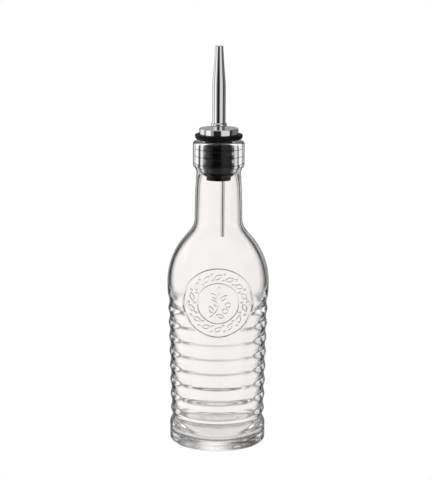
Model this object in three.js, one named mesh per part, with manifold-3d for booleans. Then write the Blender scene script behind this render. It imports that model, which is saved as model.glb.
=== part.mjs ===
// Glass oil bottle with a steel pourer held in a black rubber stopper.
// Millimetres, +Z up, origin at the centre of the base, medallion towards -Y.

import * as THREE from 'three';
import { mergeVertices } from 'three/addons/utils/BufferGeometryUtils.js';
import Module from 'manifold-3d';

// Base of the glass
const bearingInnerRadius = 19;
const puntDepth = 0.4;
const bandRadius = 28.4;
const bandTop = 6.4;
const bandNipRadius = 28.15;
const bandNipHeight = 6.9;
const heelRadius = 1.5;

// Ribs round the body
const ribCount = 9;
const ribPitch = 8.79;
const firstRibHeight = 18.8;
const firstRibRadius = 27.95;
const ribFlare = 0.0236;
const ribWidth = 7;
const ribRelief = 0.75;
const baseRibHeight = 10.2;
const baseRibRadius = 28.45;
const baseValleyRadius = 26.8;
const baseValleyBottom = 14.2;
const baseValleyTop = 16.4;

// Bulge, shoulder and neck
const widestRadius = 30;
const widestHeight = 96.5;
const bulgeRadius = 84;
const shoulderRadius = 40.5;
const shoulderAngle = 40.4;
const filletRadius = 11.5;
const neckRadius = 13.95;
const neckTopRadius = 13.4;
const neckTopHeight = 156;
const waistRadius = 12.9;
const waistHeight = 162.2;

// Finish, which is the thick ring round the mouth
const glassHeight = 180;
const finishRadius = 15.1;
const finishFootRadius = 2.5;
const finishFootHeight = 166.9;
const finishFootAngle = 62;
const lipOuterRound = 1.4;
const lipInnerRound = 1;
const boreRadius = 9.25;
const boreFootHeight = 165;

// Inside of the glass
const wall = 2.1;
const innerNeckRadius = 11.6;
const innerNeckTopHeight = 151;
const innerTaperRadius = 10.4;
const innerTaperHeight = 159.5;
const innerBodyRadius = 24.8;
const innerBodyTopRadius = 25.7;
const innerBodyTopHeight = 80;
const innerBendHeight = 88.5;
const innerBendRadius = 27.1;
const innerCornerRadius = 5;
const floorHeight = 6;
const floorCrown = 0.2;

// The glass is modelled as two nodes that meet at a level cut, so that collision stays open inside.
const cutHeight = 111.25;

// Medallion on the front
const medallionHeight = 89.6;
const medallionRadius = 20.5;
const medallionLift = 0.2;
const medallionRimWidth = 1.6;
const medallionRimLift = 0.7;
const medallionInnerRing = 11.7;
const medallionRingWidth = 0.9;
const medallionEdge = 0.35;
const medallionRoot = -1.4;
const medallionStep = 4;

// Rubber stopper
const flangeRadius = 13.9;
const flangeBottom = 180.7;
const flangeTop = 184.8;
const flangeRound = 1.5;
const plugRadius = 8.4;
const plugRibRadius = 8.9;
const plugRibCount = 4;
const plugRibPitch = 4.35;
const plugRibHeight = 3.4;
const topPlugRibHeight = 176.4;
const plugFootRadius = 7;
const plugFootTop = 161.3;
const plugFootBottom = 157.5;
const pourChannelRadius = 2.3;
const pourChannelOffset = -2.6;
const cutterSpare = 1;

// Clearance between pieces that touch
const gap = 0.3;
const cutGap = 0.1;

// Steel cap, spout and air tube
const capRadius = 11.5;
const capBottom = 183.7;
const capTop = 187.1;
const capRound = 0.7;
const spoutStemRadius = 3.5;
const spoutStemBottom = 178.5;
const spoutFootRadius = 4.3;
const spoutFootHeight = 189.5;
const spoutFootRound = 0.5;
const spoutFootTaper = 1.6;
const spoutRadius = 3.88;
const spoutTaperHeight = 213;
const spoutMiddleRadius = 3.25;
const spoutMiddleHeight = 220.5;
const spoutTipRadius = 2.3;
const spoutTop = 235;
const spoutLipRound = 0.35;
const spoutWall = 0.6;
const airTubeRadius = 1.15;
const airTubeBore = 0.75;
const airTubeOffset = 2.7;
const airTubeBottom = 122.8;

// Facets
const glassFacets = 40;
const medallionFacets = 36;
const stopperFacets = 32;
const capFacets = 40;
const spoutFacets = 24;
const tubeFacets = 12;
const weldDistance = 0.0001;

const wasm = await Module();
wasm.setup();

// Points are pairs of radius and height.
function point(radius, height) {
  return new THREE.Vector2(radius, height);
}

// A round stretch of outline about a centre, with both its ends. Zero degrees points outwards.
function arc(centreRadius, centreHeight, radius, fromDegrees, toDegrees, steps) {
  const points = [];
  for (let i = 0; i <= steps; i++) {
    const degrees = fromDegrees + ((toDegrees - fromDegrees) * i) / steps;
    const angle = THREE.MathUtils.degToRad(degrees);
    const across = centreRadius + radius * Math.cos(angle);
    points.push(point(across, centreHeight + radius * Math.sin(angle)));
  }
  return points;
}

// Turns an outline about the upright axis.
function turned(points, facets) {
  const geometry = new THREE.LatheGeometry(points, facets);
  geometry.rotateX(Math.PI / 2);
  return geometry;
}

// Merges shared corners and leaves out the empty triangles where an outline meets the axis.
function welded(geometry) {
  geometry.deleteAttribute('normal');
  geometry.deleteAttribute('uv');
  const merged = mergeVertices(geometry, weldDistance);
  const corners = merged.index.array;
  const kept = [];
  for (let i = 0; i < corners.length; i += 3) {
    const [a, b, c] = corners.slice(i, i + 3);
    if (a !== b && b !== c && c !== a) kept.push(a, b, c);
  }
  merged.setIndex(kept);
  return merged;
}

function toSolid(geometry) {
  const merged = welded(geometry);
  return new wasm.Manifold(new wasm.Mesh({
    numProp: 3,
    vertProperties: new Float32Array(merged.attributes.position.array),
    triVerts: new Uint32Array(merged.index.array),
  }));
}

function toGeometry(solid) {
  const mesh = solid.getMesh();
  const geometry = new THREE.BufferGeometry();
  geometry.setAttribute('position', new THREE.BufferAttribute(mesh.vertProperties, 3));
  geometry.setIndex(new THREE.BufferAttribute(mesh.triVerts, 1));
  geometry.computeVertexNormals();
  return geometry;
}

// Radius of the line that the rib crests lie on
function ribLine(height) {
  return firstRibRadius + (height - firstRibHeight) * ribFlare;
}

// Radius of the smooth body that the ribs and the medallion sit on
function bodyLine(height) {
  const below = widestHeight - height;
  const rounding = below > 0 ? bulgeRadius : shoulderRadius;
  const bulge = widestRadius - rounding + Math.sqrt(rounding ** 2 - below ** 2);
  return height < topRibHeight() ? ribLine(height) : bulge;
}

function topRibHeight() {
  return firstRibHeight + (ribCount - 1) * ribPitch;
}

// Underside with a shallow hollow, the flat ring it stands on, and the rounded heel
function baseOutline() {
  const points = [];
  const rings = 3;
  for (let i = 0; i < rings; i++) {
    const share = i / rings;
    points.push(point(bearingInnerRadius * share, puntDepth * (1 - share ** 2)));
  }
  points.push(point(bearingInnerRadius, 0));
  points.push(...arc(bandRadius - heelRadius, heelRadius, heelRadius, -90, 0, 3));
  points.push(point(bandRadius, bandTop));
  points.push(point(bandNipRadius, bandNipHeight));
  return points;
}

// Share of the rib's relief at a distance from its crest
function ribShare(distance) {
  return Math.cos((Math.PI * distance) / ribWidth) ** 2;
}

// Points across one round rib, from its lower flank to its upper one
function ribPoints(height) {
  const flanks = [-0.37 * ribWidth, -0.13 * ribWidth, 0.13 * ribWidth, 0.37 * ribWidth];
  return flanks.map((distance) => {
    const lift = ribRelief * (ribShare(distance) - 1);
    return point(ribLine(height) + lift, height + distance);
  });
}

function ribOutline() {
  const points = [
    point(baseRibRadius, baseRibHeight),
    point(baseValleyRadius, baseValleyBottom),
    point(baseValleyRadius, baseValleyTop),
  ];
  for (let i = 0; i < ribCount - 1; i++) {
    const height = firstRibHeight + i * ribPitch;
    const hollow = height + ribPitch / 2;
    points.push(...ribPoints(height).slice(i === 0 ? 1 : 0));
    points.push(point(ribLine(hollow) - ribRelief, hollow));
  }
  return points;
}

// From the top rib up to the widest height
function bulgeOutline() {
  const steps = 3;
  const points = [];
  for (let i = 0; i < steps; i++) {
    const height = topRibHeight() + ((widestHeight - topRibHeight()) * i) / steps;
    points.push(point(bodyLine(height), height));
  }
  return points;
}

// Round shoulder and the hollow curve into the neck, set in from the outside by a distance
function shoulderOutline(inset) {
  const angle = THREE.MathUtils.degToRad(shoulderAngle);
  const roundCentre = widestRadius - shoulderRadius;
  const roundEnd = point(
    roundCentre + shoulderRadius * Math.cos(angle),
    widestHeight + shoulderRadius * Math.sin(angle),
  );
  const filletStart = neckRadius + filletRadius * (1 - Math.cos(angle));
  const slopeRise = (roundEnd.x - filletStart) / Math.tan(angle);
  const filletTop = roundEnd.y + slopeRise + filletRadius * Math.sin(angle);
  return [
    ...arc(roundCentre, widestHeight, shoulderRadius - inset, 0, shoulderAngle, 6),
    ...arc(neckRadius + filletRadius, filletTop, filletRadius + inset, 180 + shoulderAngle, 180, 4),
  ];
}

function neckOutline() {
  return [point(neckTopRadius, neckTopHeight), point(waistRadius, waistHeight)];
}

function finishOutline() {
  const footCentre = finishRadius - finishFootRadius;
  const outerCentre = finishRadius - lipOuterRound;
  const innerCentre = boreRadius + lipInnerRound;
  return [
    ...arc(footCentre, finishFootHeight, finishFootRadius, -finishFootAngle, 0, 3),
    ...arc(outerCentre, glassHeight - lipOuterRound, lipOuterRound, 0, 90, 3),
    ...arc(innerCentre, glassHeight - lipInnerRound, lipInnerRound, 90, 180, 2),
  ];
}

// From the bore down to the middle of the floor
function insideOutline() {
  const cornerCentre = innerBodyRadius - innerCornerRadius;
  const cornerHeight = floorHeight + innerCornerRadius;
  return [
    point(boreRadius, boreFootHeight),
    point(innerTaperRadius, innerTaperHeight),
    point(innerNeckRadius, innerNeckTopHeight),
    ...shoulderOutline(wall).reverse(),
    point(innerBendRadius, innerBendHeight),
    point(innerBodyTopRadius, innerBodyTopHeight),
    ...arc(cornerCentre, cornerHeight, innerCornerRadius, 0, -90, 4),
    point(0, floorHeight + floorCrown),
  ];
}

// Section of the medallion laid flat: distance from its middle, and lift above the body
function medallionSection() {
  const rimInner = medallionRadius - medallionRimWidth;
  const ringInner = medallionInnerRing - medallionRingWidth / 2;
  const ringOuter = medallionInnerRing + medallionRingWidth / 2;
  const bandMiddle = (ringOuter + rimInner) / 2;
  const points = [point(0, medallionRoot)];
  for (let across = medallionStep; across < medallionRadius; across += medallionStep) {
    points.push(point(across, medallionRoot));
  }
  points.push(point(medallionRadius, medallionRoot));
  points.push(point(medallionRadius, medallionLift));
  points.push(point(medallionRadius - medallionEdge, medallionRimLift));
  points.push(point(rimInner + medallionEdge, medallionRimLift));
  points.push(point(rimInner, medallionLift));
  points.push(point(bandMiddle, medallionLift));
  points.push(point(ringOuter, medallionLift));
  points.push(point(medallionInnerRing, medallionRimLift));
  points.push(point(ringInner, medallionLift));
  for (let across = 2 * medallionStep; across > 0; across -= medallionStep) {
    points.push(point(across, medallionLift));
  }
  points.push(point(0, medallionLift));
  return points;
}

// Presses the flat medallion straight back onto the front of the body, so it looks round from there.
function medallion() {
  const geometry = turned(medallionSection(), medallionFacets);
  const places = geometry.attributes.position;
  for (let i = 0; i < places.count; i++) {
    const across = places.getX(i);
    const height = medallionHeight + places.getY(i);
    const radius = bodyLine(height) + places.getZ(i);
    places.setXYZ(i, across, -Math.sqrt(radius ** 2 - across ** 2), height);
  }
  return geometry;
}

function glassSolid() {
  const outline = [
    ...baseOutline(),
    ...ribOutline(),
    ...bulgeOutline(),
    ...shoulderOutline(0),
    ...neckOutline(),
    ...finishOutline(),
    ...insideOutline(),
  ];
  return toSolid(turned(outline, glassFacets)).add(toSolid(medallion()));
}

// The pointed rings that grip the bore, from the lowest up
function plugRibOutline() {
  const points = [];
  for (let i = plugRibCount - 1; i >= 0; i--) {
    const middle = topPlugRibHeight - i * plugRibPitch;
    points.push(point(plugRadius, middle - plugRibHeight / 2));
    points.push(point(plugRibRadius, middle));
    points.push(point(plugRadius, middle + plugRibHeight / 2));
  }
  return points;
}

function stopperOutline() {
  const socket = spoutStemRadius + gap;
  const seat = capRadius + gap;
  const edge = flangeRadius - flangeRound;
  return [
    point(0, plugFootBottom),
    point(plugFootRadius, plugFootBottom),
    point(plugFootRadius, plugFootTop),
    ...plugRibOutline(),
    point(plugRadius, flangeBottom),
    ...arc(edge, flangeBottom + flangeRound, flangeRound, -90, 0, 3),
    point(flangeRadius, flangeTop - flangeRound / 2),
    point(edge + flangeRound / 2, flangeTop),
    point(seat, flangeTop),
    point(seat, capBottom - gap),
    point(socket, capBottom - gap),
    point(socket, spoutStemBottom - gap),
    point(0, spoutStemBottom - gap),
  ];
}

// An upright cutter for a channel, from below the plug up into the spout's socket
function channel(radius, offset) {
  const bottom = plugFootBottom - cutterSpare;
  const top = spoutStemBottom;
  const outline = [point(0, bottom), point(radius, bottom), point(radius, top), point(0, top)];
  const geometry = turned(outline, tubeFacets);
  geometry.translate(offset, 0, 0);
  return toSolid(geometry);
}

function stopperGeometry() {
  const pour = channel(pourChannelRadius, pourChannelOffset);
  const air = channel(airTubeRadius + gap, airTubeOffset);
  const body = toSolid(turned(stopperOutline(), stopperFacets));
  return toGeometry(body.subtract(pour).subtract(air));
}

function capGeometry() {
  const hole = spoutStemRadius + gap;
  const outline = [
    point(hole, capBottom),
    point(capRadius, capBottom),
    ...arc(capRadius - capRound, capTop - capRound, capRound, 0, 90, 3),
    point(hole, capTop),
    point(hole, capBottom),
  ];
  return turned(outline, capFacets);
}

function spoutGeometry() {
  const stemTop = spoutFootHeight - 2 * spoutFootRound;
  const lipCentre = spoutTipRadius - spoutLipRound;
  const outline = [
    point(spoutStemRadius - spoutWall, spoutStemBottom),
    point(spoutStemRadius, spoutStemBottom),
    point(spoutStemRadius, stemTop),
    ...arc(spoutFootRadius - spoutFootRound, spoutFootHeight, spoutFootRound, -70, 50, 4),
    point(spoutRadius, spoutFootHeight + spoutFootTaper),
    point(spoutRadius, spoutTaperHeight),
    point(spoutMiddleRadius, spoutMiddleHeight),
    ...arc(lipCentre, spoutTop - spoutLipRound, spoutLipRound, 0, 180, 4),
    point(spoutMiddleRadius - spoutWall, spoutMiddleHeight),
    point(spoutRadius - spoutWall, spoutTaperHeight),
    point(spoutStemRadius - spoutWall, spoutFootHeight),
    point(spoutStemRadius - spoutWall, spoutStemBottom),
  ];
  return turned(outline, spoutFacets);
}

function airTubeGeometry() {
  const top = spoutStemBottom - gap;
  const outline = [
    point(airTubeBore, airTubeBottom),
    point(airTubeRadius, airTubeBottom),
    point(airTubeRadius, top),
    point(airTubeBore, top),
    point(airTubeBore, airTubeBottom),
  ];
  return turned(outline, tubeFacets);
}

const glass = new THREE.MeshStandardMaterial({
  color: 0xeeebea,
  roughness: 0.04,
  metalness: 0,
  transparent: true,
  opacity: 0.35,
});
const rubber = new THREE.MeshStandardMaterial({ color: 0x161616, roughness: 0.5, metalness: 0 });
const steel = new THREE.MeshStandardMaterial({ color: 0xc9c9c9, roughness: 0.14, metalness: 1 });

function piece(name, geometry, material) {
  const mesh = new THREE.Mesh(geometry, material);
  mesh.name = name;
  return mesh;
}

const bottle = new THREE.Group();
const wholeGlass = glassSolid();
const belowCut = wholeGlass.trimByPlane([0, 0, -1], -(cutHeight - cutGap / 2));
const aboveCut = wholeGlass.trimByPlane([0, 0, 1], cutHeight + cutGap / 2);
bottle.add(piece('glass_bottle', toGeometry(belowCut), glass));
bottle.add(piece('glass_neck', toGeometry(aboveCut), glass.clone()));

const pourer = new THREE.Group();
const airTube = piece('air_tube', airTubeGeometry(), steel.clone());
airTube.position.x = airTubeOffset;
pourer.add(piece('rubber_stopper', stopperGeometry(), rubber));
pourer.add(piece('steel_cap', capGeometry(), steel.clone()));
pourer.add(piece('pour_spout', spoutGeometry(), steel.clone()));
pourer.add(airTube);
bottle.add(pourer);

export default bottle;
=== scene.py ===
import math

import bpy
import numpy as np
from mathutils import Matrix


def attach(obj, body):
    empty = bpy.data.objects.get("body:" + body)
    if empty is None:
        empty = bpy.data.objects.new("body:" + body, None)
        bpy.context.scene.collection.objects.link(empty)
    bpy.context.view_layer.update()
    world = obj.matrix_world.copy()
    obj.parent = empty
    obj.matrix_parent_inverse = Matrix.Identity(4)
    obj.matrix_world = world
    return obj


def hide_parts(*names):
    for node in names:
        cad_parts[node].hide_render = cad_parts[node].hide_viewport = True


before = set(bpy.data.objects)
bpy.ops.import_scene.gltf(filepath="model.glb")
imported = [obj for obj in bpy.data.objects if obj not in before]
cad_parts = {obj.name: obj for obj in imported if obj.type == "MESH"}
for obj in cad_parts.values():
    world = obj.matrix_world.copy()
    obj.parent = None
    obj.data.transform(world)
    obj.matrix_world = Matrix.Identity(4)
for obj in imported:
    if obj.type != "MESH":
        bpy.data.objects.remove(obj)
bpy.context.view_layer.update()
print("frame loaded:", sorted(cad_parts))

mm = 0.001

# real sizes in millimetres, heights are above the table; points are pairs of radius and height
bottle = dict(
    height=180.0, widest=30.0, widestHeight=96.5, bulgeRound=84.0,
    shoulderRound=40.5, shoulderAngle=40.4, neck=13.95, neckFillet=11.5,
    neckCurve=((13.95, 136.5), (13.8, 147.0), (13.4, 156.0), (12.9, 161.0), (13.0, 162.6), (13.65, 163.7)),
    finish=15.1, finishFoot=166.6, finishFootRound=2.7, finishFootAngle=58.0, lipOuter=1.5, lipInner=1.1,
    bore=9.25, boreRings=(174.0, 169.0), wall=1.85,
    innerNeck=((9.25, 164.5), (10.15, 160.5), (11.25, 155.5), (11.7, 150.0), (11.85, 142.0)),
    innerBulge=((28.0, 93.5), (27.5, 89.5), (26.7, 85.5), (26.0, 81.0), (25.45, 73.0),
                (25.1, 58.0), (24.9, 38.0), (24.8, 14.0)),
    innerBody=24.8, innerCorner=4.5,
    floor=6.0, floorCrown=0.2, crownShares=((19.0, 0.15), (12.0, 0.6), (6.0, 0.9), (0.0, 1.0)),
    foot=28.4, heel=1.5, bearing=19.0, punt=0.4, bandTop=6.35, nip=27.75, nipHeight=6.9, nipRise=0.75,
    baseRib=10.2, baseRibRadius=28.45, hollow=26.8, hollowLow=14.2, hollowTop=16.4,
    ribs=9, ribPitch=8.79, firstRib=18.8, firstRibRadius=27.95, ribFlare=0.0245,
    ribWidth=7.0, ribRelief=0.75,
)

# columns and rows of the glass mesh, closer together over the medallion
mesh = dict(
    frontColumns=212, frontHalfAngle=45.7, sideColumns=64, plainColumns=136, insideColumns=112,
    ribStep=0.45, medalLow=68.4, medalTop=110.7, medalStep=0.235, shoulderLow=111.2,
)


def topRib():
    return bottle["firstRib"] + (bottle["ribs"] - 1) * bottle["ribPitch"]


# smooth body that the ribs and the medallion sit on
def bodyLine(z):
    z = np.asarray(z, float)
    below = bottle["widestHeight"] - z
    rounding = np.where(below > 0, bottle["bulgeRound"], bottle["shoulderRound"])
    bulge = bottle["widest"] - rounding + np.sqrt(np.maximum(rounding**2 - below**2, 0))
    line = bottle["firstRibRadius"] + (z - bottle["firstRib"]) * bottle["ribFlare"]
    return np.where(z < topRib(), line, bulge)


def ease(value):
    value = np.clip(value, 0, 1)
    return value * value * (3 - 2 * value)


# nine round ribs, a wide rib over the foot and a hollow between them
def ribbedRadius(z):
    b = bottle
    z = np.asarray(z, float)
    share = (z - b["firstRib"]) / b["ribPitch"]
    away = np.abs(share - np.round(share)) * b["ribPitch"]
    lift = np.where(away < b["ribWidth"] / 2, np.cos(np.pi * away / b["ribWidth"]) ** 2, 0)
    radius = np.where(z >= topRib(), bodyLine(z), bodyLine(z) - b["ribRelief"] * (1 - lift))
    downShare = ease((z - b["baseRib"]) / (b["hollowLow"] - b["baseRib"]))
    upShare = ease((z - b["hollowTop"]) / (b["firstRib"] - b["hollowTop"]))
    down = b["baseRibRadius"] - (b["baseRibRadius"] - b["hollow"]) * downShare
    up = b["hollow"] + (b["firstRibRadius"] - b["hollow"]) * upShare
    return np.where(z < b["hollowLow"], down, np.where(z < b["firstRib"], up, radius))


def arc(centre, height, radius, start, end, count):
    angles = np.radians(np.linspace(start, end, count))
    return [(centre + radius * math.cos(a), height + radius * math.sin(a)) for a in angles]


def straight(first, last, count):
    shares = np.linspace(0, 1, count + 2)[1:-1]
    return [tuple(np.array(first) * (1 - s) + np.array(last) * s) for s in shares]


# extra points close to the corners of an outline keep its flats flat when it is shaded smooth
def firm(points, hold=0.07):
    held = [points[0]]
    for a, b in zip(points, points[1:]):
        a, b = np.array(a), np.array(b)
        length = np.hypot(*(b - a))
        if length > 6 * hold:
            held += [tuple(a + (b - a) * hold / length), tuple(b - (b - a) * hold / length)]
        held.append(tuple(b))
    return held


def smoothLine(points, rounds):
    for _ in range(rounds):
        cut = [points[0]]
        for a, b in zip(points, points[1:]):
            a, b = np.array(a), np.array(b)
            cut += [tuple(a * 0.75 + b * 0.25), tuple(a * 0.25 + b * 0.75)]
        points = cut + [points[-1]]
    return points


# shoulder and the hollow curve into the neck, set in from the outside by a distance
def shoulderCurve(inset, roundCount, filletCount):
    b = bottle
    angle = math.radians(b["shoulderAngle"])
    centre = b["widest"] - b["shoulderRound"]
    endRadius = centre + b["shoulderRound"] * math.cos(angle)
    endHeight = b["widestHeight"] + b["shoulderRound"] * math.sin(angle)
    filletStart = b["neck"] + b["neckFillet"] * (1 - math.cos(angle))
    filletTop = endHeight + (endRadius - filletStart) / math.tan(angle) + b["neckFillet"] * math.sin(angle)
    lower = arc(centre, b["widestHeight"], b["shoulderRound"] - inset, 0, b["shoulderAngle"], roundCount)
    upper = arc(b["neck"] + b["neckFillet"], filletTop, b["neckFillet"] + inset,
                180 + b["shoulderAngle"], 180, filletCount)
    return lower + straight(lower[-1], upper[0], 5) + upper


def glassOutside():
    b = bottle
    shares = np.linspace(0, 1, 7)[:-1]
    points = [(b["bearing"] * s, b["punt"] * (1 - s**2)) for s in shares]
    points += firm([(b["bearing"], 0.0), (b["foot"] - b["heel"] - 0.1, 0.0)], 0.1)
    points += arc(b["foot"] - b["heel"], b["heel"], b["heel"], -90, 0, 8)
    points += firm([(b["foot"], b["heel"] + 0.4), (b["foot"], b["bandTop"]), (b["nip"], b["nipHeight"]),
                    (b["baseRibRadius"] - 0.05, b["nipHeight"] + b["nipRise"]),
                    (b["baseRibRadius"], b["baseRib"] - 0.6)], 0.12)
    for low, top, step in ((b["baseRib"], mesh["medalLow"], mesh["ribStep"]),
                           (mesh["medalLow"], mesh["medalTop"], mesh["medalStep"])):
        points += [(float(ribbedRadius(z)), float(z)) for z in np.arange(low, top - step / 2, step)]
    points += [p for p in shoulderCurve(0, 64, 16) if p[1] > mesh["shoulderLow"]]
    points += smoothLine(b["neckCurve"], 2)[1:]
    footRound, footAngle, lipFoot = b["finishFootRound"], b["finishFootAngle"], b["height"] - b["lipOuter"]
    points += arc(b["finish"] - footRound, b["finishFoot"], footRound, -footAngle, 0, 9)
    points += firm([(b["finish"], b["finishFoot"] + 0.4), (b["finish"], lipFoot - 0.2)], 0.3)
    points += arc(b["finish"] - b["lipOuter"], lipFoot, b["lipOuter"], 0, 90, 9)
    return points


def glassInside():
    b = bottle
    corner = b["innerCorner"]
    points = arc(b["bore"] + b["lipInner"], b["height"] - b["lipInner"], b["lipInner"], 90, 180, 7)
    points += [(b["bore"], height) for height in b["boreRings"]]
    points += smoothLine(b["innerNeck"], 2)
    points += shoulderCurve(b["wall"], 13, 8)[::-1]
    points += smoothLine(b["innerBulge"], 2)
    points += arc(b["innerBody"] - corner, b["floor"] + corner, corner, 0, -90, 12)
    points += [(radius, b["floor"] + b["floorCrown"] * share) for radius, share in b["crownShares"]]
    return points


# places on the medallion are millimetres right of its middle and above it
medal = dict(
    height=89.6, radius=20.9, rimWidth=1.7, rimInset=0.1, ring=11.9, ringWidth=1.3,
    relief=0.41, edge=0.45, reach=21.5,
    wreath=15.4, leaves=14, leafLength=5.0, leafWidth=2.3, leafTilt=0.5, bead=0.5, beadAway=1.7,
    stemFoot=(-4.6, -8.0), stemBend=(2.6, -3.0), stemTop=(0.2, 5.2), sprigLeafWidth=2.0,
    sprigLeaves=(((-3.9, -3.6), 2.0, 4.6), ((-1.9, 0.4), 2.2, 4.8), ((-2.2, 4.6), 2.3, 4.4),
                 ((0.4, 7.6), 1.5, 4.6), ((3.2, 3.4), 0.75, 4.8), ((1.3, -7.4), -0.4, 4.4)),
    olives=((4.0, -4.4), (5.6, -0.9)), olive=1.45, stroke=0.92, strokeRelief=0.405,
)


# soft-edged ridge of a width about a line, from the distance to that line
def ridge(distance, width):
    return np.where(np.abs(distance) < width / 2, np.cos(np.pi * distance / width) ** 2, 0)


def leafLoop(centre, turn, length, width):
    shares = np.linspace(0, 1, 7)
    along, half = (shares - 0.5) * length, width / 2 * np.sin(np.pi * shares)
    loop = np.concatenate([np.stack([along, half], 1), np.stack([along, -half], 1)[::-1]])
    facing = np.array([[math.cos(turn), math.sin(turn)], [-math.sin(turn), math.cos(turn)]])
    return loop @ facing + np.array(centre)


def circleLoop(centre, radius):
    turns = np.linspace(0, 2 * math.pi, 13)
    return np.stack([centre[0] + radius * np.cos(turns), centre[1] + radius * np.sin(turns)], 1)


# generic ornament: a ring of slanting leaves and beads round a sprig with two olives
def ornamentLines():
    m = medal
    loops = []
    for i in range(m["leaves"]):
        angle = 2 * math.pi * (i + 0.5) / m["leaves"]
        middle = (m["wreath"] * math.cos(angle), m["wreath"] * math.sin(angle))
        loops.append(leafLoop(middle, angle + math.pi / 2 + m["leafTilt"], m["leafLength"], m["leafWidth"]))
        angle += math.pi / m["leaves"]
        for away in (-m["beadAway"], m["beadAway"]):
            place = ((m["wreath"] + away) * math.cos(angle), (m["wreath"] + away) * math.sin(angle))
            loops.append(circleLoop(place, m["bead"]))
    shares = np.linspace(0, 1, 12)[:, None]
    foot, bend, top = np.array(m["stemFoot"]), np.array(m["stemBend"]), np.array(m["stemTop"])
    loops.append(foot * (1 - shares)**2 + 2 * bend * shares * (1 - shares) + top * shares**2)
    for middle, turn, length in m["sprigLeaves"]:
        loops.append(leafLoop(middle, turn, length, m["sprigLeafWidth"]))
    loops += [circleLoop(middle, m["olive"]) for middle in m["olives"]]
    return loops


ornament = ornamentLines()
starts = np.concatenate([loop[:-1] for loop in ornament])
steps = np.concatenate([loop[1:] for loop in ornament]) - starts
stepSquares = np.maximum((steps**2).sum(1), 1e-9)


# distance from points to the nearest line of the ornament
def ornamentDistance(x, z):
    points = np.stack([x, np.full(len(x), z)], 1)[:, None]
    shares = np.clip(((points - starts) * steps).sum(2) / stepSquares, 0, 1)[..., None]
    return np.sqrt(((points - starts - shares * steps)**2).sum(2)).min(1)


def medallionRadius(x, z, radius):
    m = medal
    across, up = x, z - m["height"]
    away = np.hypot(across, up)
    plaque = ease((m["radius"] - away) / m["edge"])
    rim = m["radius"] - m["rimWidth"] / 2 - m["rimInset"]
    lift = m["relief"] * ridge(away - rim, m["rimWidth"])
    lift = np.maximum(lift, m["relief"] * ridge(away - m["ring"], m["ringWidth"]))
    lift = np.maximum(lift, m["strokeRelief"] * ridge(ornamentDistance(across, up), m["stroke"]))
    return radius * (1 - plaque) + bodyLine(z) * plaque + lift * (away < m["radius"])


# even columns, or ones that are closer together over the medallion; all start at the same angle
def columnAngles(count):
    half = math.radians(mesh["frontHalfAngle"])
    if count:
        return np.linspace(-half, 2 * math.pi - half, count, endpoint=False)
    front = np.linspace(-half, half, mesh["frontColumns"], endpoint=False)
    back = np.linspace(half, 2 * math.pi - half, mesh["sideColumns"], endpoint=False)
    return np.concatenate([front, back])


# faces between two rings of points, which may have different numbers of columns
def bridge(low, high, lowAngles, highAngles):
    count = len(low)
    if count == len(high):
        return [(low[i], low[i - count + 1], high[i - count + 1], high[i]) for i in range(count)]
    faces = []
    past = 3 * math.pi
    lowEnds, highEnds = np.append(lowAngles[1:], past), np.append(highAngles[1:], past)
    i = j = 0
    while i < len(low) or j < len(high):
        a, b = low[i % len(low)], high[j % len(high)]
        if j == len(high) or (i < len(low) and lowEnds[i] <= highEnds[j]):
            i += 1
            faces.append((a, low[i % len(low)], b))
        else:
            j += 1
            faces.append((a, high[j % len(high)], b))
    return faces


# turns an outline of radius and height about the upright axis, or about one beside it
def spin(name, outline, columns, shape=None, offset=0.0):
    points, faces, rings = [], [], []
    closed = outline[0] == outline[-1]
    for row, (radius, height) in enumerate(outline[:-1] if closed else outline):
        angles = columns(row) if callable(columns) else columns
        if radius == 0:
            angles = angles[:1]
        radii, heights = np.full(len(angles), radius), np.full(len(angles), height)
        if shape:
            radii = shape(row, radii, height, angles)
        ring = np.stack([radii * np.sin(angles) + offset, -radii * np.cos(angles), heights], axis=1)
        rings.append((list(range(len(points), len(points) + len(angles))), angles))
        points += [tuple(p * mm) for p in ring]
    for (low, lowAngles), (high, highAngles) in zip(rings, rings[1:] + rings[:1] if closed else rings[1:]):
        if len(low) == 1:
            faces += [(low[0], high[i - len(high) + 1], high[i]) for i in range(len(high))]
        elif len(high) == 1:
            faces += [(low[i], low[i - len(low) + 1], high[0]) for i in range(len(low))]
        else:
            faces += bridge(low, high, lowAngles, highAngles)
    data = bpy.data.meshes.new(name)
    data.from_pydata(points, [], faces)
    data.update()
    data.shade_smooth()
    piece = bpy.data.objects.new(name, data)
    bpy.context.collection.objects.link(piece)
    return piece


outside = glassOutside()

# relief that runs out behind the sides in degrees from the front, and the uneven inside of pressed glass
unevenness = dict(
    backFade=0.88, footFade=0.7, backStart=84.0, backEnd=119.0,
    wave=0.035, waveLength=5.3, waveBend=1.2, waveTurn=0.7, waveDrift=21.0, waveLow=12.0, waveHigh=160.0,
    lean=0.32, leanLow=25.0, leanFull=55.0, leanFade=115.0, leanHigh=135.0,
)


# how far a place is behind the bottle's sides, where the relief runs out
def behind(angles):
    turn = np.degrees(np.abs((angles + math.pi) % (2 * math.pi) - math.pi))
    return ease((turn - unevenness["backStart"]) / (unevenness["backEnd"] - unevenness["backStart"]))


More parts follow.
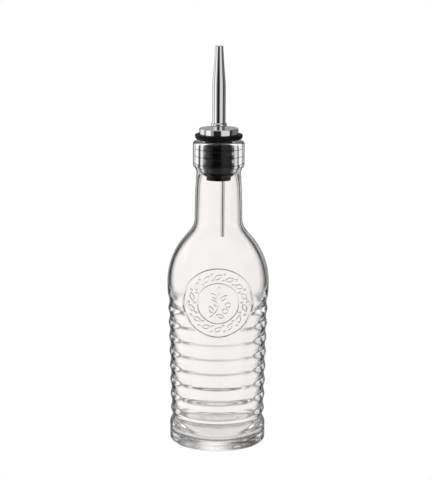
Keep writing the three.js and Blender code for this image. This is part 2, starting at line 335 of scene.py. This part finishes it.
# lets the relief run out behind, adds the medallion at the front, and makes the inside a little uneven
def glassShape(row, radius, height, angles):
    u = unevenness
    if row >= len(outside):
        if not u["waveLow"] <= height <= u["waveHigh"]:
            return radius
        bent = height / u["waveLength"] + u["waveBend"] * np.sin(2 * angles + u["waveTurn"])
        waves = np.sin(bent) * np.cos(3 * angles + height / u["waveDrift"])
        lean = u["lean"] * ease((height - u["leanLow"]) / (u["leanFull"] - u["leanLow"]))
        lean *= ease((u["leanHigh"] - height) / (u["leanHigh"] - u["leanFade"]))
        return radius + u["wave"] * waves - lean * np.sin(angles)
    if bottle["firstRib"] <= height < topRib():
        smooth = bodyLine(height)
        radius = smooth - (smooth - radius) * (1 - u["backFade"] * behind(angles))
    elif bottle["baseRib"] < height < bottle["firstRib"]:
        share = (height - bottle["baseRib"]) / (bottle["firstRib"] - bottle["baseRib"])
        smooth = bottle["baseRibRadius"] * (1 - share) + bottle["firstRibRadius"] * share
        radius = smooth - (smooth - radius) * (1 - u["footFade"] * behind(angles))
    x = radius * np.sin(angles)
    near = (np.hypot(x, height - medal["height"]) < medal["reach"]) & (np.cos(angles) > 0)
    return np.where(near, medallionRadius(x, height, radius), radius)


def glassColumns(row):
    if row >= len(outside):
        return columnAngles(mesh["insideColumns"])
    over = mesh["medalLow"] - 0.1 < outside[row][1] < mesh["medalTop"] - 0.1
    return columnAngles(None if over else mesh["plainColumns"])


glass = spin("glassBottle", outside + glassInside()[1:], glassColumns, glassShape)
print("glass:", sum(len(f.vertices) - 2 for f in glass.data.polygons), "triangles")


def newMaterial(name):
    material = bpy.data.materials.new(name)
    material.use_nodes = True
    nodes = material.node_tree.nodes
    return material, nodes, material.node_tree.links, nodes["Principled BSDF"]


def mathNode(nodes, links, operation, *values):
    node = nodes.new("ShaderNodeMath")
    node.operation = operation
    for socket, value in zip(node.inputs, values):
        if isinstance(value, (int, float)):
            socket.default_value = value
        else:
            links.new(value, socket)
    return node.outputs[0]


def newGroup(name, inputs, outputs):
    group = bpy.data.node_groups.new(name, "ShaderNodeTree")
    for label in inputs:
        kind = "NodeSocketVector" if label == "Place" else "NodeSocketFloat"
        group.interface.new_socket(label, in_out="INPUT", socket_type=kind)
    for label in outputs:
        group.interface.new_socket(label, in_out="OUTPUT", socket_type="NodeSocketFloat")
    entry = group.nodes.new("NodeGroupInput").outputs
    leave = group.nodes.new("NodeGroupOutput").inputs
    return group, group.nodes, group.links, entry, leave


def placeGroup(nodes, links, group, place, values):
    node = nodes.new("ShaderNodeGroup")
    node.node_tree = group
    links.new(place, node.inputs["Place"])
    for label, value in values.items():
        node.inputs[label].default_value = value
    return node.outputs


# fine grain and wider patches of wear, both from 0 to 1
def makeGrain():
    group, nodes, links, entry, leave = newGroup("grain", ("Place", "Fine", "Wide"), ("Grain", "Patches"))
    for size, detail, label in (("Fine", 2.0, "Grain"), ("Wide", 4.0, "Patches")):
        noise = nodes.new("ShaderNodeTexNoise")
        noise.inputs["Detail"].default_value = detail
        links.new(entry["Place"], noise.inputs["Vector"])
        links.new(entry[size], noise.inputs["Scale"])
        links.new(noise.outputs[0], leave[label])
    return group


# marks that run round the axis, as turning and polishing leave them
def makeTurnedMarks():
    labels = ("Place", "Spacing", "Sharpness")
    group, nodes, links, entry, leave = newGroup("turnedMarks", labels, ("Height",))
    split = nodes.new("ShaderNodeSeparateXYZ")
    links.new(entry["Place"], split.inputs[0])
    noise = nodes.new("ShaderNodeTexNoise")
    noise.noise_dimensions = "1D"
    noise.inputs["Scale"].default_value = 1.0
    noise.inputs["Detail"].default_value = 3.0
    links.new(mathNode(nodes, links, "DIVIDE", split.outputs["Z"], entry["Spacing"]), noise.inputs["W"])
    links.new(mathNode(nodes, links, "POWER", noise.outputs[0], entry["Sharpness"]), leave["Height"])
    return group


# ring of small knurls at a height, from 0 to 1
def makeKnurls():
    labels = ("Place", "Height", "Half Width", "Count")
    group, nodes, links, entry, leave = newGroup("knurls", labels, ("Relief",))
    split = nodes.new("ShaderNodeSeparateXYZ")
    links.new(entry["Place"], split.inputs[0])
    turn = mathNode(nodes, links, "ARCTAN2", split.outputs["X"], split.outputs["Y"])
    wave = mathNode(nodes, links, "SINE", mathNode(nodes, links, "MULTIPLY", turn, entry["Count"]))
    wave = mathNode(nodes, links, "MULTIPLY_ADD", wave, 0.5, 0.5)
    rise = mathNode(nodes, links, "SUBTRACT", split.outputs["Z"], entry["Height"])
    away = mathNode(nodes, links, "DIVIDE", mathNode(nodes, links, "ABSOLUTE", rise), entry["Half Width"])
    near = mathNode(nodes, links, "MAXIMUM", mathNode(nodes, links, "SUBTRACT", 1.0, away), 0.0)
    links.new(mathNode(nodes, links, "MULTIPLY", wave, near), leave["Relief"])
    return group


grain, turnedMarks, knurls = makeGrain(), makeTurnedMarks(), makeKnurls()


def objectPlace(nodes):
    return nodes.new("ShaderNodeTexCoord").outputs["Object"]


def bump(nodes, links, height, distance, normal=None):
    node = nodes.new("ShaderNodeBump")
    node.inputs["Distance"].default_value = distance
    node.inputs["Strength"].default_value = 1.0
    links.new(height, node.inputs["Height"])
    if normal:
        links.new(normal, node.inputs["Normal"])
    return node.outputs[0]


def rangeNode(nodes, links, value, low, high, newLow, newHigh, smooth=False):
    node = nodes.new("ShaderNodeMapRange")
    if smooth:
        node.interpolation_type = "SMOOTHSTEP"
    links.new(value, node.inputs["Value"])
    for label, number in (("From Min", low), ("From Max", high), ("To Min", newLow), ("To Max", newHigh)):
        node.inputs[label].default_value = number
    return node.outputs[0]


def mixColours(nodes, links, share, first, second):
    node = nodes.new("ShaderNodeMix")
    node.data_type = "RGBA"
    links.new(share, node.inputs["Factor"])
    for label, colour in (("A", first), ("B", second)):
        if isinstance(colour, tuple):
            node.inputs[label].default_value = colour
        else:
            links.new(colour, node.inputs[label])
    return node.outputs["Result"]


# the rim is a painted shade, the darker colour where the glass is seen edge on; the knurl shade is a painted
# shade, the dark colour in the ring of knurls
glassLook = dict(
    tint=(0.957, 0.941, 0.935, 1), rim=(0.07, 0.07, 0.07, 1), rimStart=0.55, rimEnd=0.8,
    index=1.5, mirror=(0.3, 0.3, 0.3, 1), smudge=0.012, smudgeScale=38.0, smudgeStart=0.5, smudgeEnd=0.8,
    ripple=0.00002, rippleScale=70.0, knurlShade=(0.03, 0.03, 0.03, 1), knurlShadeDepth=1.7,
    knurl=0.00035, knurlHeight=0.00705, knurlHalf=0.0011, knurlCount=120.0,
)


def glassMaterial():
    material, nodes, links, shader = newMaterial("clearGlass")
    look = glassLook
    place = objectPlace(nodes)
    scales = {"Fine": look["rippleScale"], "Wide": look["smudgeScale"]}
    marks = placeGroup(nodes, links, grain, place, scales)
    ring = placeGroup(nodes, links, knurls, place, {
        "Height": look["knurlHeight"], "Half Width": look["knurlHalf"], "Count": look["knurlCount"]})
    # painted shade: the glass colour turns dark grey where the glass is seen edge on, drawing dark outlines
    edge = nodes.new("ShaderNodeLayerWeight")
    edge.inputs["Blend"].default_value = 0.5
    share = rangeNode(nodes, links, edge.outputs["Facing"], look["rimStart"], look["rimEnd"], 0.0, 1.0, True)
    colour = mixColours(nodes, links, share, look["tint"], look["rim"])
    # painted shade: the glass colour turns nearly black in the ring of knurls, a dark dotted line standing
    # in for shade
    knurlShade = rangeNode(nodes, links, ring["Relief"], 0.0, 1.0 / look["knurlShadeDepth"], 0.0, 1.0)
    colour = mixColours(nodes, links, knurlShade, colour, look["knurlShade"])
    links.new(colour, shader.inputs["Base Color"])
    patches = marks["Patches"]
    smudge = rangeNode(nodes, links, patches, look["smudgeStart"], look["smudgeEnd"], 0.0, look["smudge"])
    links.new(smudge, shader.inputs["Roughness"])
    ripple = bump(nodes, links, marks["Grain"], look["ripple"])
    links.new(bump(nodes, links, ring["Relief"], look["knurl"], ripple), shader.inputs["Normal"])
    shader.inputs["IOR"].default_value = look["index"]
    shader.inputs["Specular Tint"].default_value = look["mirror"]
    shader.inputs["Transmission Weight"].default_value = 1.0
    return material


glass.data.materials.append(glassMaterial())
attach(glass, "root")
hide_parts("glass_bottle", "glass_neck")

around = np.linspace(0, 2 * math.pi, 144, endpoint=False)

# the flange is a shallow bowl with a round side, the plug's ribs are given from the top down
stopper = dict(
    flange=13.9, flangeLow=180.5, flangeTop=184.0, flangeEdge=0.45, flangeRim=0.7,
    bowl=4.0, bowlDepth=2.85, bowlFullness=0.8,
    plug=8.1, plugTop=178.6, plugRound=0.3, rib=9.28, ribHeights=(175.3, 170.9, 166.3, 162.0),
    ribHalf=1.75, ribTip=0.35,
    foot=7.0, footTop=160.6, footLow=157.5, footRound=0.5,
    seat=11.65, seatFloor=183.4, socket=3.85, socketFloor=178.2,
)


def makeStopper():
    p = stopper
    half = p["ribHalf"]
    points = firm([(0.0, p["footLow"]), (p["foot"] - p["footRound"], p["footLow"])])
    points += arc(p["foot"] - p["footRound"], p["footLow"] + p["footRound"], p["footRound"], -90, 0, 6)
    points += firm([(p["foot"] + 0.1, p["footTop"] - 0.2), (p["plug"] - 0.3, p["footTop"] + 0.1)])
    side = [(p["plug"] - 0.1, half), (p["plug"] + 0.1, half * 0.75), (p["rib"] - 0.12, p["ribTip"])]
    for middle in reversed(p["ribHeights"]):
        low = [(radius, middle - away) for radius, away in side]
        high = [(radius, middle + away) for radius, away in reversed(side)]
        points += smoothLine(low + [(p["rib"] + 0.03, middle)] + high, 2)
    points += [(p["plug"], p["plugTop"]), (p["plug"], p["flangeLow"] - p["plugRound"])]
    points += arc(p["plug"] + p["plugRound"], p["flangeLow"] - p["plugRound"], p["plugRound"], 180, 90, 4)
    for turn in np.linspace(-math.pi / 2, 0, 16):
        across = abs(math.cos(turn)) ** p["bowlFullness"]
        down = abs(math.sin(turn)) ** p["bowlFullness"]
        points.append((p["flange"] - p["bowl"] * (1 - across), p["flangeLow"] + p["bowlDepth"] * (1 - down)))
    points += arc(p["flange"] - p["flangeEdge"], p["flangeTop"] - p["flangeEdge"], p["flangeEdge"], 0, 90, 8)
    points += firm([(p["flange"] - p["flangeRim"], p["flangeTop"]),
                    (p["seat"] + 0.15, p["flangeTop"] - 0.05), (p["seat"], p["flangeTop"] - 0.2),
                    (p["seat"], p["seatFloor"]), (p["socket"], p["seatFloor"]),
                    (p["socket"], p["socketFloor"]), (0.0, p["socketFloor"])])
    return spin("rubberStopper", points, around)


cap = dict(radius=11.45, hole=3.75, low=183.6, top=187.5, edge=0.45, bevel=0.12, holeBevel=0.25)


def makeCap():
    p = cap
    middle, side = p["radius"] - p["edge"], p["top"] - p["edge"]
    points = firm([(p["hole"], p["low"]), (p["radius"] - 0.1, p["low"]),
                   (p["radius"], p["low"] + p["bevel"]), (p["radius"], side - 0.05)])
    points += arc(middle, side, p["edge"], 0, 90, 10)
    points += firm([(middle - 0.1, p["top"]), (p["hole"] + p["holeBevel"], p["top"]),
                    (p["hole"], p["top"] - p["holeBevel"]), (p["hole"], p["low"])])
    return spin("steelCap", points, around)


# the collar is the wider ring where the spout meets the cap
spout = dict(
    stem=3.5, stemLow=178.5, collar=4.75, collarHeight=189.4, collarFoot=1.0, collarTop=2.4,
    pipe=3.88, taper=213.0, middle=3.25, middleHeight=220.5, upper=2.78, upperHeight=227.0,
    tip=2.3, top=235.0, lip=0.3, tipBore=1.75, tipBoreDepth=0.6, sheet=0.6,
)


def makeSpout():
    p = spout
    inner = p["stem"] - p["sheet"]
    foot = p["collarHeight"]
    points = firm([(inner, p["stemLow"]), (p["stem"], p["stemLow"]), (p["stem"], foot - p["collarFoot"])])
    points += smoothLine([(p["stem"] + 0.05, foot - 0.75), (p["collar"] - 0.2, foot - 0.5),
                          (p["collar"] + 0.05, foot), (p["collar"] - 0.15, foot + 0.6),
                          (p["pipe"] + 0.05, foot + 1.5), (p["pipe"], foot + p["collarTop"])], 3)
    points += smoothLine([(p["pipe"], p["taper"] - 3), (p["pipe"], p["taper"]),
                          (p["middle"], p["middleHeight"]), (p["upper"], p["upperHeight"]),
                          (p["tip"] + 0.02, p["top"] - 0.5)], 2)
    points += arc(p["tip"] - p["lip"], p["top"] - p["lip"], p["lip"], 0, 180, 8)
    points += [(p["tipBore"], p["top"] - p["tipBoreDepth"]), (p["middle"] - p["sheet"], p["middleHeight"]),
               (p["pipe"] - p["sheet"], p["taper"]), (inner, foot), (inner, p["stemLow"])]
    return spin("pourSpout", points, around)


# the tube hangs beside the axis, to the right
tube = dict(radius=1.15, bore=0.75, offset=2.45, low=122.8, top=178.2)


def makeTube():
    p = tube
    points = firm([(p["bore"], p["low"]), (p["radius"], p["low"]), (p["radius"], p["top"]),
                   (p["bore"], p["top"]), (p["bore"], p["low"])], 0.05)
    return spin("airTube", points, around[::3], offset=p["offset"])


steelLook = dict(
    colour=(0.80, 0.80, 0.805, 1), smooth=0.05, worn=0.13, wearStart=0.35, wearEnd=0.75,
    fineScale=2600.0, wideScale=160.0, marks=0.00022, sharp=1.4, depth=0.0000035,
)


def steelMaterial():
    material, nodes, links, shader = newMaterial("polishedSteel")
    look = steelLook
    place = objectPlace(nodes)
    wear = placeGroup(nodes, links, grain, place, {"Fine": look["fineScale"], "Wide": look["wideScale"]})
    spacing = {"Spacing": look["marks"], "Sharpness": look["sharp"]}
    marks = placeGroup(nodes, links, turnedMarks, place, spacing)
    start, end = look["wearStart"], look["wearEnd"]
    rough = rangeNode(nodes, links, wear["Patches"], start, end, look["smooth"], look["worn"])
    links.new(rough, shader.inputs["Roughness"])
    links.new(bump(nodes, links, marks["Height"], look["depth"]), shader.inputs["Normal"])
    shader.inputs["Base Color"].default_value = look["colour"]
    shader.inputs["Metallic"].default_value = 1.0
    return material


rubberLook = dict(
    dark=(0.004, 0.004, 0.0043, 1), pale=(0.008, 0.008, 0.0084, 1), smooth=0.34, rough=0.5,
    wearStart=0.3, wearEnd=0.7, fineScale=1900.0, wideScale=120.0, sheen=0.09, depth=0.00004,
)


def rubberMaterial():
    material, nodes, links, shader = newMaterial("blackRubber")
    look = rubberLook
    scales = {"Fine": look["fineScale"], "Wide": look["wideScale"]}
    wear = placeGroup(nodes, links, grain, objectPlace(nodes), scales)
    patches = wear["Patches"]
    links.new(mixColours(nodes, links, patches, look["dark"], look["pale"]), shader.inputs["Base Color"])
    start, end = look["wearStart"], look["wearEnd"]
    rough = rangeNode(nodes, links, patches, start, end, look["smooth"], look["rough"])
    links.new(rough, shader.inputs["Roughness"])
    links.new(bump(nodes, links, wear["Grain"], look["depth"]), shader.inputs["Normal"])
    shader.inputs["Specular IOR Level"].default_value = look["sheen"]
    return material


steel, rubber = steelMaterial(), rubberMaterial()
for piece, node, slot, material in (
    (makeStopper(), "rubber_stopper", "black_rubber", rubber),
    (makeCap(), "steel_cap", "polished_steel", steel),
    (makeSpout(), "pour_spout", "polished_steel", steel),
    (makeTube(), "air_tube", "polished_steel", steel),
):
    piece.data.materials.append(material)
    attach(piece, "root")
    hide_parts(node)
print("pourer made")


# one studio light by its middle direction and half its spread, in degrees
def light(azimuth, halfWidth, level, height=0.0, halfHeight=48.0, soft=0.3):
    return dict(azimuth=azimuth, halfWidth=halfWidth, level=level,
                height=height, halfHeight=halfHeight, soft=soft)


allRound = 400.0  # half a spread that takes in every direction

# azimuth 0 is towards the camera, positive to its right, 180 behind the bottle
studio = dict(
    ambient=0.02, glint=0.35, sky=light(150.0, allRound, 0.8, 90.0, 35.0),
    table=light(0.0, allRound, 0.86, -90.0, 56.0, 0.06),
    backPanel=[light(178.0, 31.0, 0.95, halfHeight=27.0, soft=0.25),
               light(-171.0, 11.0, 0.07, halfHeight=27.0, soft=0.7)],
    frontBoxes=[light(-64.0, 18.0, 1.1, soft=0.45), light(-36.0, 5.0, 0.35),
                light(40.0, 26.0, 0.78, soft=0.13)],
    rearBoxes=[light(-116.0, 22.0, 1.0), light(112.0, 28.0, 0.15)],
    # seen through the glass: straight, after one bounce in its wall, after more bounces
    surround=light(0.0, 136.0, 0.95, halfHeight=26.0, soft=0.03),
    edgeFill=[light(-108.0, 26.0, 0.85, soft=0.25), light(112.0, 26.0, 0.72, soft=0.2),
              light(178.0, 27.0, 1.0, -12.0, 18.0), light(180.0, 11.0, 1.15, 24.0, 16.0, 0.5),
              light(180.0, 32.0, 0.28, 24.0, 16.0), light(180.0, 52.0, 0.62, -29.0, 11.0, 0.4)],
    deepPanel=[light(177.0, 12.5, 1.3, halfHeight=26.0, soft=0.55),
               light(150.0, 9.0, 0.35, halfHeight=26.0, soft=0.6),
               light(0.0, allRound, 0.6, 66.0, 22.0, 0.1), light(180.0, allRound, 0.1, 0.0, allRound),
               light(-122.0, 28.0, 0.62, 32.0, 18.0, 0.3), light(122.0, 28.0, 0.62, 32.0, 18.0, 0.3)],
)


# soft-edged light seen in one direction, 1 inside and 0 outside
def makeSoftLight():
    labels = ("Turn", "Rise", "Azimuth", "Half Width", "Height", "Half Height", "Soft")
    group, nodes, links, entry, leave = newGroup("softLight", labels, ("Value",))
    away = mathNode(nodes, links, "SUBTRACT", entry["Turn"], entry["Azimuth"])
    away = mathNode(nodes, links, "WRAP", away, 180.0, -180.0)
    across = mathNode(nodes, links, "DIVIDE", away, entry["Half Width"])
    rise = mathNode(nodes, links, "SUBTRACT", entry["Rise"], entry["Height"])
    up = mathNode(nodes, links, "DIVIDE", rise, entry["Half Height"])
    across = mathNode(nodes, links, "POWER", mathNode(nodes, links, "ABSOLUTE", across), 4.0)
    up = mathNode(nodes, links, "POWER", mathNode(nodes, links, "ABSOLUTE", up), 4.0)
    reach = mathNode(nodes, links, "POWER", mathNode(nodes, links, "ADD", across, up), 0.25)
    fade = nodes.new("ShaderNodeMapRange")
    fade.interpolation_type = "SMOOTHSTEP"
    links.new(reach, fade.inputs["Value"])
    links.new(mathNode(nodes, links, "SUBTRACT", 1.0, entry["Soft"]), fade.inputs["From Min"])
    links.new(mathNode(nodes, links, "ADD", 1.0, entry["Soft"]), fade.inputs["From Max"])
    fade.inputs["To Min"].default_value = 1.0
    fade.inputs["To Max"].default_value = 0.0
    links.new(fade.outputs[0], leave["Value"])
    return group


def placeLight(nodes, links, group, turn, rise, lamp):
    node = nodes.new("ShaderNodeGroup")
    node.node_tree = group
    links.new(turn, node.inputs["Turn"])
    links.new(rise, node.inputs["Rise"])
    for label, key in (("Azimuth", "azimuth"), ("Half Width", "halfWidth"), ("Height", "height"),
                       ("Half Height", "halfHeight"), ("Soft", "soft")):
        node.inputs[label].default_value = lamp[key]
    return mathNode(nodes, links, "MULTIPLY", node.outputs[0], lamp["level"])


def makeWorld():
    world = bpy.data.worlds.new("studio")
    bpy.context.scene.world = world
    world.use_nodes = True
    nodes, links = world.node_tree.nodes, world.node_tree.links
    nodes.clear()
    split = nodes.new("ShaderNodeSeparateXYZ")
    links.new(nodes.new("ShaderNodeTexCoord").outputs["Generated"], split.inputs[0])
    back = mathNode(nodes, links, "MULTIPLY", split.outputs["Y"], -1.0)
    turn = mathNode(nodes, links, "DEGREES", mathNode(nodes, links, "ARCTAN2", split.outputs["X"], back))
    rise = mathNode(nodes, links, "DEGREES", mathNode(nodes, links, "ARCSINE", split.outputs["Z"]))
    group = makeSoftLight()
    path = nodes.new("ShaderNodeLightPath")
    through = path.outputs["Is Transmission Ray"]
    outer = mathNode(nodes, links, "SUBTRACT", 1.0, through)
    bounced = mathNode(nodes, links, "GREATER_THAN", path.outputs["Glossy Depth"], 0.5)
    bounced = mathNode(nodes, links, "MULTIPLY", bounced, through)
    deep = mathNode(nodes, links, "GREATER_THAN", path.outputs["Glossy Depth"], 1.5)
    deep = mathNode(nodes, links, "MULTIPLY", deep, through)
    direct = mathNode(nodes, links, "SUBTRACT", through, bounced)
    once = mathNode(nodes, links, "SUBTRACT", bounced, deep)
    plain = mathNode(nodes, links, "MULTIPLY_ADD", outer, studio["glint"], direct)
    indirect = mathNode(nodes, links, "SUBTRACT", 1.0, direct)
    level = studio["ambient"]
    for lamps, share in ((studio["backPanel"], plain), (studio["deepPanel"], deep),
                         (studio["frontBoxes"], indirect), (studio["rearBoxes"], outer),
                         (studio["edgeFill"], once), ([studio["surround"]], direct),
                         ([studio["sky"], studio["table"]], 1.0)):
        for lamp in lamps:
            value = placeLight(nodes, links, group, turn, rise, lamp)
            level = mathNode(nodes, links, "MULTIPLY_ADD", value, share, level)
    glow = nodes.new("ShaderNodeBackground")
    colour = mixColours(nodes, links, path.outputs["Is Camera Ray"], level, (1.0, 1.0, 1.0, 1.0))
    links.new(colour, glow.inputs["Color"])
    out = nodes.new("ShaderNodeOutputWorld")
    links.new(glow.outputs[0], out.inputs[0])


# sizes of the floor are in metres
floorDisc = dict(corners=64, reach=0.35, drop=0.0001, patch=0.85, patchInner=0.026, patchOuter=0.029)


# the camera sees it white all over, and the glass sees the part close round its foot
def makeFloor():
    f = floorDisc
    turns = np.linspace(0, 2 * math.pi, f["corners"], endpoint=False)
    data = bpy.data.meshes.new("floor")
    corners = [(f["reach"] * math.cos(a), f["reach"] * math.sin(a), -f["drop"]) for a in turns]
    data.from_pydata(corners, [], [tuple(range(f["corners"]))])
    floor = bpy.data.objects.new("floor", data)
    bpy.context.collection.objects.link(floor)
    material, nodes, links, shader = newMaterial("paleFloor")
    shader.inputs["Base Color"].default_value = (0.0, 0.0, 0.0, 1)
    shader.inputs["Specular IOR Level"].default_value = 0.0
    shader.inputs["Emission Color"].default_value = (1.0, 1.0, 1.0, 1)
    away = nodes.new("ShaderNodeVectorMath")
    away.operation = "LENGTH"
    links.new(objectPlace(nodes), away.inputs[0])
    near = rangeNode(nodes, links, away.outputs["Value"], f["patchInner"], f["patchOuter"], 1.0, 0.0, True)
    path = nodes.new("ShaderNodeLightPath")
    shown = mathNode(nodes, links, "MAXIMUM", near, path.outputs["Is Camera Ray"])
    links.new(shown, shader.inputs["Alpha"])
    strength = rangeNode(nodes, links, path.outputs["Is Camera Ray"], 0.0, 1.0, f["patch"], 1.0)
    links.new(strength, shader.inputs["Emission Strength"])
    data.materials.append(material)


camera = dict(x=-1.35, distance=865.0, height=298.0, pitch=11.55, roll=0.28, lens=112.43, near=0.01)


def makeCamera():
    data = bpy.data.cameras.new("camera")
    data.lens = camera["lens"]
    data.clip_start = camera["near"]
    eye = bpy.data.objects.new("camera", data)
    tilt = Matrix.Rotation(math.radians(90 - camera["pitch"]), 4, "X")
    turn = tilt @ Matrix.Rotation(math.radians(camera["roll"]), 4, "Z")
    place = (camera["x"] * mm, -camera["distance"] * mm, camera["height"] * mm)
    eye.matrix_world = Matrix.Translation(place) @ turn
    bpy.context.collection.objects.link(eye)
    bpy.context.scene.camera = eye


makeWorld()
makeFloor()
makeCamera()
scene = bpy.context.scene
scene.view_settings.view_transform = "Standard"
scene.cycles.max_bounces = 32
scene.cycles.transmission_bounces = 24
scene.cycles.glossy_bounces = 24
print("studio ready")
